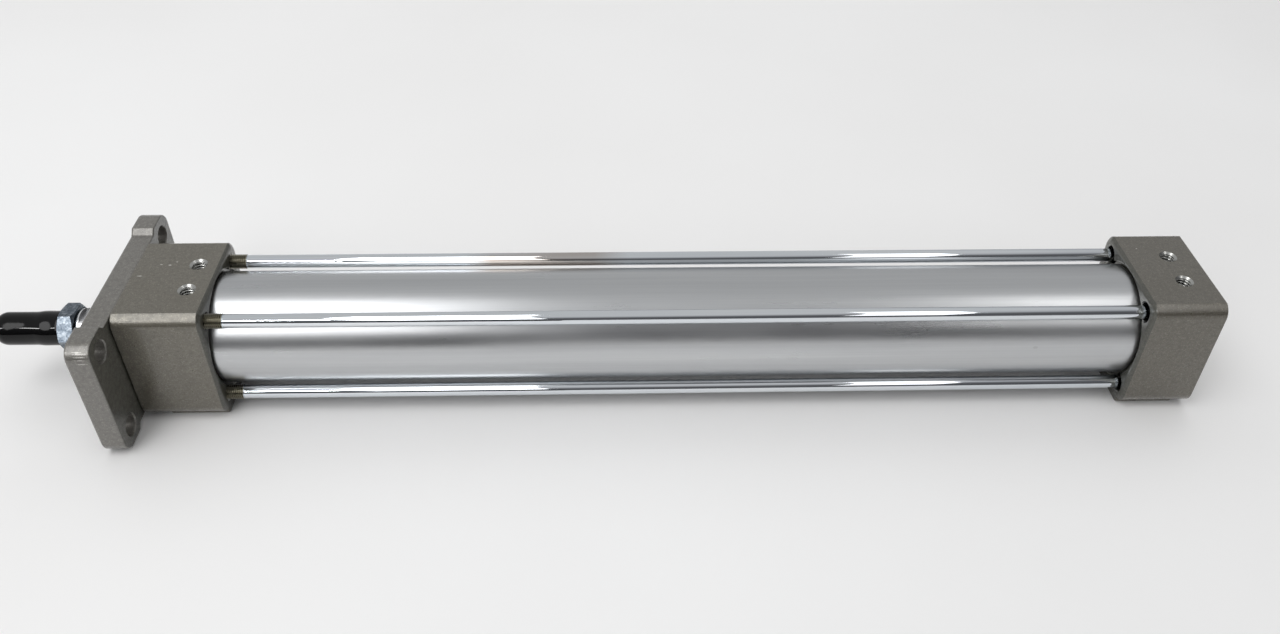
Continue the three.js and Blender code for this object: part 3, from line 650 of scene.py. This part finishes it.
def cover():
    h = SIDE / 2
    o = loft("rear_cover_casting", X2, X3, head_section, (2.9, 36), (0.35, 0))
    pad = bar("pad", X2 + 0.35, X2 + PAD_L, PAD_HY, 5, 1.4, 0.8, 0.8, n=4, ne=3, cz=-h - PAD_H + 5)
    boolean(o, pad, "UNION")
    e = X2 - 6.0
    boolean(o, revolve("lip", [(X2 + 0.35, 18.7), (X2 + 0.35, RECESS_R + 0.3), (X2 - 3, RECESS_R + 0.7), (X2 - 3, 18.7), (X2 + 0.35, 18.7)], 160, mat=2))
    boolean(o, revolve("rec", [(X2 + 1.6, 18.7), (X2 + 1.6, RECESS_R), (X2 - 3, RECESS_R), (X2 - 3, 18.7), (X2 + 1.6, 18.7)], 160, mat=0))
    sp = revolve("sp", [(X2 + 4, 0), (X2 + 4, 18.7), (X2 - 1.6, 18.7), (X2 - 1.6, 16.75), (X2 - 4.3, 16.75), (X2 - 4.3, 18.7), (e + 0.8, 18.7), (e, 17.9), (e, 0)], 96, mat=2)
    boolean(o, sp, "UNION")
    boolean(o, revolve("bore", [(X2 + 20, 0), (X2 + 20, 12.0), (X2 - 0.5, 12.0), (X2 - 0.5, 13.6), (X2 - 4.5, 13.6), (X2 - 4.5, 12.0), (e + 0.8, 12.0), (e - 0.5, 13.3), (e - 0.5, 0)], 96, mat=2))
    boolean(o, join([tapped_cutter(TAP_RX, -TAP_Y), tapped_cutter(TAP_RX, TAP_Y)], "cut"))
    th = [revolve("th", [(X2 - 2, 0), (X2 - 2, 4.25), (X2 - 0.01, 4.25), (X2 + 0.45, 3.8), (X3 - 11.5, 3.8), (X3 - 11.5, 5.2), (X3 - 0.4, 5.2), (X3 + 0.01, 5.6), (X3 + 2, 5.6), (X3 + 2, 0)], 48, at=(0, a * TIE, b * TIE), mat=1) for a, b in CORNERS]
    boolean(o, join(th, "cut"))
    boolean(o, port_cutter(X2 + PORT_X))
    boolean(o, needle_cutter(X2 + PORT_X))
    return o


o = head()
# Painted shade: the head's tube-side face and its crease band take the darker copy of the paint.
for p in o.data.polygons:
    if p.material_index == 0 and p.normal.x > 0.5 and p.center.x > HEAD_L - 2.6:
        p.material_index = 3
hd = finish_piece(o, M_HEAD, "barrel", ["front_head"], angle=19)
o = cover()
# Painted shade: the rear cover's tube-side face and its crease band take the darker copy of the paint.
for p in o.data.polygons:
    if p.material_index == 0 and p.normal.x < -0.5 and p.center.x < X2 + 2.6:
        p.material_index = 3
cv = finish_piece(o, [CAST_CV_PAINTED_SHADE, BORED, BORED_X, CAST_PAINTED_SHADE], "barrel", ["rear_cover"], angle=19)

# ---------------------------------------------------------------- tube
T0, T1 = HEAD_L - 1.2 + 0.3 - 0.0, X2 + 1.2 - 0.3
tb = revolve("cylinder_tube_drawn", [(T0, 19.45), (T0, 21.95), (T0 + 0.3, 22.25), (T1 - 0.3, 22.25), (T1, 21.95), (T1, 19.45), (T1 - 0.4, 19.05), (T0 + 0.4, 19.05), (T0, 19.45)], 224)
finish_piece(tb, [TUBE], "barrel", ["cylinder_tube"], angle=25)

# ---------------------------------------------------------------- tie rods, their nuts
TX0, TX1, TX2, TX3 = HEAD_L - 14, HEAD_L + 6.6, X3 - 14.5, X3 - 3.8
for i, (a, b) in enumerate(CORNERS):
    prof = [(TX0, 0), (TX0, 2.2), (TX0 + 0.5, 2.5), (HEAD_L - 1.5, 2.5), (TX1, 2.52), (TX1 + 0.5, 2.75), (TX2, 2.75), (TX2 + 0.5, 2.5), (TX3 - 0.6, 2.5), (TX3, 2.0), (TX3, 0)]
    prof[3] = (HEAD_L - 1.5, 2.5)
    o = revolve(f"tie_rod_{i + 1}_rolled", prof, 56, at=(0, a * TIE, b * TIE),
                thread=[(HEAD_L - 1.5, TX1, 0.75, 2.36, 2.95, 0.5), (TX2 + 0.5, TX3 - 0.6, 0.75, 2.46, 2.72, 0.0)], turn=0.7 * i)
    for p in o.data.polygons:
        cx = sum(o.data.vertices[v].co.x for v in p.vertices) / len(p.vertices)
        p.material_index = 1 if (cx < TX1 - 0.1 or cx > TX2 + 0.4) else 0
    finish_piece(o, [ZROD_ST if i == 1 else ZROD, ZTHREAD], "barrel", [f"tie_rod_{i + 1}"], angle=50, weighted=False)

for i, (a, b) in enumerate(CORNERS):
    x0, x1 = X3 - 9.6, X3 - 0.5
    at = (0, a * TIE, b * TIE)
    o = revolve("n", [(x0, 0), (x0, 4.5), (x0 + 0.3, 4.8), (x1 - 0.7, 4.8), (x1, 4.15), (x1, 0)], 48, at=at)
    boolean(o, join([revolve("c", [(x0 - 1, 0), (x0 - 1, 3.1), (x0 + 0.4, 2.8), (x1 - 3.4, 2.8), (x1 - 3.4, 0)], 32, at=at, mat=0)], "c"))
    boolean(o, hexbar("c", x1 - 3.1, x1 + 1, 5.0, at[1], at[2], turn=17 * i))
    boolean(o, revolve("c", [(x1 - 0.35, 0), (x1 + 0.01, 3.05), (x1 + 1, 3.05), (x1 + 1, 0)], 32, at=at))
    finish_piece(o, [BLACKOX, BLACKOX], "barrel", [f"tie_rod_nut_{i + 1}"])

# ---------------------------------------------------------------- flange screws
for i, (a, b) in enumerate(CORNERS):
    x = -FL_T + 0.4
    at = (0, a * TIE, b * TIE)

    def knurl(ax, th, r, x=x):
        if x + 0.9 < ax < x + 5.4 and r > 4.8:
            return r - 0.10 * (1 + math.cos(36 * th)) / 2
        return r

    o = revolve("s", [(x, 0), (x, 4.55), (x + 0.15, 4.85), (x + 0.5, 4.98), (x + 0.95, 4.98), (x + 5.3, 4.98), (x + 5.9, 4.9), (x + 5.9, 2.75), (12.3, 2.75), (13.0, 2.1), (13.0, 0)], 144, at=at, shape=knurl)
    boolean(o, hexbar("c", x - 1, x + 3.2, 5.0, at[1], at[2], turn=11 + 23 * i))
    boolean(o, revolve("c", [(x - 1, 0), (x - 1, 3.1), (x - 0.01, 3.1), (x + 0.4, 0)], 32, at=at))
    finish_piece(o, [BLACKOX, BLACKOX], "barrel", [f"flange_screw_{i + 1}"])

# ---------------------------------------------------------------- gland and wiper
o = revolve("rod_gland_turned", [(-15.9, 9.0), (-15.9, 13.3), (-15.7, 13.75), (-15.2, 14.15), (-14.8, 14.3), (-10.6, 14.3), (-10.4, 14.05), (-9.9, 14.05), (-9.7, 14.3), (0.1, 14.3), (0.1, 17.0), (5.3, 17.0), (5.3, 14.3), (9.0, 14.3), (9.0, 12.5), (11.6, 12.5), (11.6, 14.3),
     (13.8, 14.3), (14.2, 13.9), (14.2, 8.4), (13.1, 8.4), (13.1, 11.0), (8.6, 11.0), (8.6, 8.3), (7.1, 8.3), (7.1, 9.9), (-9.9, 9.9), (-9.9, 8.3), (-11.4, 8.3), (-11.4, 10.8), (-15.3, 10.8), (-15.3, 9.2), (-15.7, 9.2), (-15.9, 9.0)], 96)
finish_piece(o, [STEEL], "barrel", ["rod_gland"])
o = revolve("rod_wiper_lip", [(-15.05, 8.10), (-15.15, 8.35), (-14.6, 8.8), (-14.35, 9.4), (-14.6, 10.3), (-14.2, 10.6), (-12.0, 10.6), (-11.7, 10.3), (-11.7, 8.6), (-12.2, 8.4), (-13.6, 8.45), (-14.6, 8.2), (-15.05, 8.10)], 72)
finish_piece(o, [PU], "barrel", ["rod_wiper"], angle=50)

# ---------------------------------------------------------------- piston rod
PX1 = X2 - 6.0 - 0.4
PX0 = PX1 - (TUBE_VIS - 12.0 - 330.2 - 0.8)
END = SHOULDER - 19.05
prof = [(END, 0), (END, 4.35), (END + 0.75, 5.0), (SHOULDER - 1.3, 5.0), (SHOULDER - 0.9, 4.75), (SHOULDER - 0.25, 4.75), (SHOULDER, 5.0), (SHOULDER, 7.3), (SHOULDER + 0.25, 7.62), (SHOULDER + 0.7, 7.9), (SHOULDER + 1.0, 7.94),
        (PX0 - 0.3, 7.94), (PX0 - 0.3, 6.0), (PX1 + 14.2, 6.0), (PX1 + 14.7, 5.5), (PX1 + 14.7, 0)]
o = revolve("piston_rod_ground", prof, 96, thread=(END + 0.75, SHOULDER - 1.3, 1.27, 4.82, 5.54, 0.0))
for p in o.data.polygons:
    cx = sum(o.data.vertices[v].co.x for v in p.vertices) / len(p.vertices)
    p.material_index = 1 if (cx < SHOULDER or cx > PX0 - 0.2) else 0
cuts = []
for s in (-1, 1):
    c = bar("c", SHOULDER + 1.4, SHOULDER + 8.6, 10, 3, 0.4, 0.0, 0.0, n=2, cz=s * (6.35 + 3), mat=1)
    cuts.append(c)
boolean(o, join(cuts, "c"))
finish_piece(o, [CHROME, STEEL], "rod", ["piston_rod"], angle=40)

# ---------------------------------------------------------------- jam nut
x1 = SHOULDER - 0.3
x0 = x1 - 6.2
AF, TURN = 17.46, -6.5
R, h = AF / math.sqrt(3), AF / 2
o = hexbar("rod_jam_nut_chamfered", x0, x1, AF, turn=TURN)
boolean(o, revolve("c", [(x0, 0), (x0, h - 0.25), (x0 + 0.12, h - 0.05), (x0 + (R - h) * 0.62, R + 0.1), (x1 - (R - h) * 0.62, R + 0.1), (x1 - 0.12, h - 0.05), (x1, h - 0.25), (x1, 0)], 128), "INTERSECT")
boolean(o, revolve("c", [(x0 - 1, 0), (x0 - 1, 6.6), (x0 - 0.01, 6.45), (x0 + 0.75, 5.72), (x1 - 0.75, 5.72), (x1 + 0.01, 6.45), (x1 + 1, 6.6), (x1 + 1, 0)], 64, thread=(x0 + 0.75, x1 - 0.75, 1.27, 5.62, 5.95, 0.0), mat=1))
finish_piece(o, [ZNUT, STEEL], "nut", ["rod_jam_nut"], angle=24)


# ---------------------------------------------------------------- slip-on cap
def dent(a, th, r):
    if r < 5.9:
        return r
    k = 0.045 * math.sin(2 * th + 0.9 + a * 0.16) + 0.03 * math.sin(3 * th - a * 0.31)
    w = min(1.0, max(0.0, (a - CAP_TIP - 3) / 5)) * min(1.0, max(0.0, (CAP_MOUTH - a) / 3))
    return r - 0.05 * w + k * w


prof = [(CAP_TIP, 0)]
for k in range(1, 15):
    t = math.pi / 2 * k / 14
    prof.append((CAP_TIP + 5.4 * (1 - math.cos(t)), 6.72 - 5.4 + 5.4 * math.sin(t) - (1.32 if k == 0 else 0.0)))
prof[1] = (CAP_TIP + 0.02, 0.9)
prof += [(-52.0, 6.70), (-49.0, 6.69), (-46.0, 6.68), (-43.2, 6.70), (-42.2, 6.76), (-41.2, 6.88), (-40.2, 7.0), (-39.2, 7.03), (-38.0, 7.02), (-37.0, 7.01), (-36.0, 7.0), (-35.0, 7.0), (-34.2, 7.01), (-33.4, 7.03), (-32.7, 7.03), (-32.35, 6.93), (CAP_MOUTH, 6.7),
         (CAP_MOUTH, 6.1), (-32.4, 5.85), (-45.2, 5.8), (-46.4, 5.3), (-56.1, 5.3), (-57.8, 3.6), (-57.8, 0)]
o = revolve("rod_end_cap_dipped", prof, 96, shape=dent)
finish_piece(o, [VINYL], "cap", ["rod_end_cap"], angle=60, weighted=False)

# ---------------------------------------------------------------- cushion needles
for end, x in (("front", HEAD_L - PORT_X), ("rear", X2 + PORT_X)):
    at = (x, SIDE / 2, 0)
    o = revolve("c", [(0.5, 0), (0.5, 3.1), (0.9, 3.6), (4.6, 3.6), (4.6, 2.55), (6.7, 2.55), (6.7, 3.6), (8.2, 3.6), (8.2, 1.35), (12.2, 1.35), (13.6, 0.4), (13.6, 0)], 48, "-y", at,
                thread=[(0.9, 4.6, 0.75, 3.36, 3.78, 0.0)])
    boolean(o, hexbar("c", -0.5, 3.2, 3.0, kind="-y", at=at, turn=20 if end == "front" else 47))
    finish_piece(o, [STEEL, STEEL], f"{end}_needle", [f"{end}_cushion_needle"], angle=40)

# ---------------------------------------------------------------- the CAD nodes that stay shown
KEEP = {
    STEEL: ["front_cushion_sleeve", "rear_cushion_spear"],
    PISTON_AL: ["piston"],
    BRONZE: ["rod_bush"],
    RUBBER: ["gland_o_ring", "front_tube_seal", "rear_tube_seal", "piston_o_ring", "front_needle_o_ring", "rear_needle_o_ring"],
    PU: ["rod_seal", "front_cushion_seal", "rear_cushion_seal", "piston_seal_front", "piston_seal_rear"],
    PTFE: ["piston_wear_ring"],
    ZNUT: ["tie_rod_washer_1", "tie_rod_washer_2", "tie_rod_washer_3", "tie_rod_washer_4"],
}
for m, names in KEEP.items():
    for n in names:
        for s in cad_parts[n].material_slots:
            s.material = m
for m in (BASE0, BASE1, BASE2):
    if m.users == 0:
        bpy.data.materials.remove(m)

# ---------------------------------------------------------------- floor
fm = Mat("bench_white", Specular_IOR_Level=0.25)
w = fm.noise(fm.scaled(3.0, 3.0, 3.0), 3.0, 0.5)
g = fm.noise(fm.scaled(500, 500, 500), 3.0, 0.6)
fm.to(fm.mix(fm.ramp(w, [(0.35, 0.0), (0.7, 1.0)]), (0.80, 0.795, 0.79), (0.84, 0.838, 0.835)), "Base Color")
fm.to(fm.ramp(g, [(0.3, 0.42), (0.7, 0.55)]), "Roughness")
me = bpy.data.meshes.new("bench")
me.from_pydata([(-4, -4, 0), (4, -4, 0), (4, 4, 0), (-4, 4, 0)], [], [(0, 1, 2, 3)])
floor = bpy.data.objects.new("bench", me)
bpy.context.scene.collection.objects.link(floor)
me.materials.append(fm.m)


# ---------------------------------------------------------------- light
def area(name, loc, target, sx, sy, radiance, col=(1, 1, 1)):
    l = bpy.data.lights.new(name, "AREA")
    l.shape, l.size, l.size_y = "RECTANGLE", sx, sy
    l.energy = radiance * math.pi * sx * sy
    l.color = col
    o = bpy.data.objects.new(name, l)
    bpy.context.scene.collection.objects.link(o)
    o.location = loc
    d = Vector(target) - Vector(loc)
    o.rotation_euler = d.to_track_quat("-Z", "Y").to_euler()
    o.visible_camera = False
    return o


area("soft_left", (-0.62, -0.68, 1.09), (-0.62, 0, 0.03), 0.62, 1.66, 3.3, (1.0, 1.0, 1.0))
area("soft_right", (0.80, -0.70, 1.07), (0.80, 0, 0.03), 0.36, 1.50, 1.55, (1.0, 0.995, 0.985))
top = bpy.data.lights.new("overhead", "SUN")
top.energy, top.angle = 0.36, math.radians(42)
top_ob = bpy.data.objects.new("overhead", top)
bpy.context.scene.collection.objects.link(top_ob)
top_ob.visible_glossy = False
far = area("far_fill", (0.05, 0.62, 0.80), (0.05, 0.62, 0), 1.7, 0.7, 0.62)
far.visible_glossy = False
strip = area("strip_left", (-1.55, -0.95, 0.86), (-1.55, 0, 0.03), 1.25, 0.085, 34.0)
strip.visible_diffuse = False
card = make("dark_card", [(-1.6, -0.31, 0.0), (-0.06, -0.31, 0.0), (-0.06, -0.31, 0.058), (-1.6, -0.31, 0.058)], [(0, 1, 2, 3)])
CARD = Mat("dark_card", Base_Color=(0.01, 0.01, 0.01))
card.data.materials.append(CARD.m)
card.visible_camera = False
card.visible_diffuse = False
card.visible_shadow = False
world = bpy.data.worlds.new("studio")
bpy.context.scene.world = world
world.use_nodes = True
wt = world.node_tree
bg = wt.nodes["Background"]
tc = wt.nodes.new("ShaderNodeTexCoord")
sp = wt.nodes.new("ShaderNodeSeparateXYZ")
wt.links.new(tc.outputs["Generated"], sp.inputs[0])
my = wt.nodes.new("ShaderNodeMath")
my.operation = "MULTIPLY_ADD"
my.inputs[1].default_value = 0.45
wt.links.new(sp.outputs[1], my.inputs[0])
mx = wt.nodes.new("ShaderNodeMath")
mx.operation = "MULTIPLY_ADD"
mx.inputs[1].default_value = -0.28
wt.links.new(sp.outputs[0], mx.inputs[0])
wt.links.new(sp.outputs[2], mx.inputs[2])
wt.links.new(mx.outputs[0], my.inputs[2])
rp = wt.nodes.new("ShaderNodeValToRGB")
e = rp.color_ramp.elements
for k, (p, c) in enumerate([(0.0, (0.10, 0.10, 0.105)), (0.2, (0.17, 0.17, 0.175)), (0.42, (0.42, 0.42, 0.43)), (0.7, (0.56, 0.565, 0.57)), (1.0, (0.54, 0.545, 0.55))]):
    if k >= len(e):
        e.new(p)
    e[k].position, e[k].color = p, (*c, 1)
wt.links.new(my.outputs[0], rp.inputs[0])
wt.links.new(rp.outputs[0], bg.inputs["Color"])
bg.inputs["Strength"].default_value = 1.0

# ---------------------------------------------------------------- camera at the photograph's angle
F_PX, PITCH, YAW, ROLL = 1072.493, 39.391, -2.481, 1.049
C_MM = (363.464 * 0.508, -653.098 * 0.508, 559.795 * 0.508)
CX, CY = 644.077, 300.055
p, yw, rl = math.radians(PITCH), math.radians(YAW), math.radians(ROLL)
Rz = Matrix.Rotation(yw, 3, "Z")
fwd = Rz @ Vector((0, math.cos(p), -math.sin(p)))
right = Rz @ Vector((1, 0, 0))
up = Rz @ Vector((0, math.sin(p), math.cos(p)))
r2 = math.cos(rl) * right + math.sin(rl) * up
u2 = -math.sin(rl) * right + math.cos(rl) * up
cd = bpy.data.cameras.new("camera")
cam = bpy.data.objects.new("camera", cd)
bpy.context.scene.collection.objects.link(cam)
cd.sensor_width = 36.0
cd.lens = 36.0 * F_PX / 1280
cd.shift_x = -(CX - 640) / 1280
cd.shift_y = (CY - 317) / 1280
cd.clip_start, cd.clip_end = 0.01, 50
M = Matrix((r2, u2, -fwd)).transposed().to_4x4()
M.translation = Vector(((C_MM[0] + OX) / 1000, C_MM[1] / 1000, (C_MM[2] + OZ) / 1000))
cam.matrix_world = M
bpy.context.scene.camera = cam
bpy.context.scene.view_settings.view_transform = "Standard"
bpy.context.scene.view_settings.look = "None"
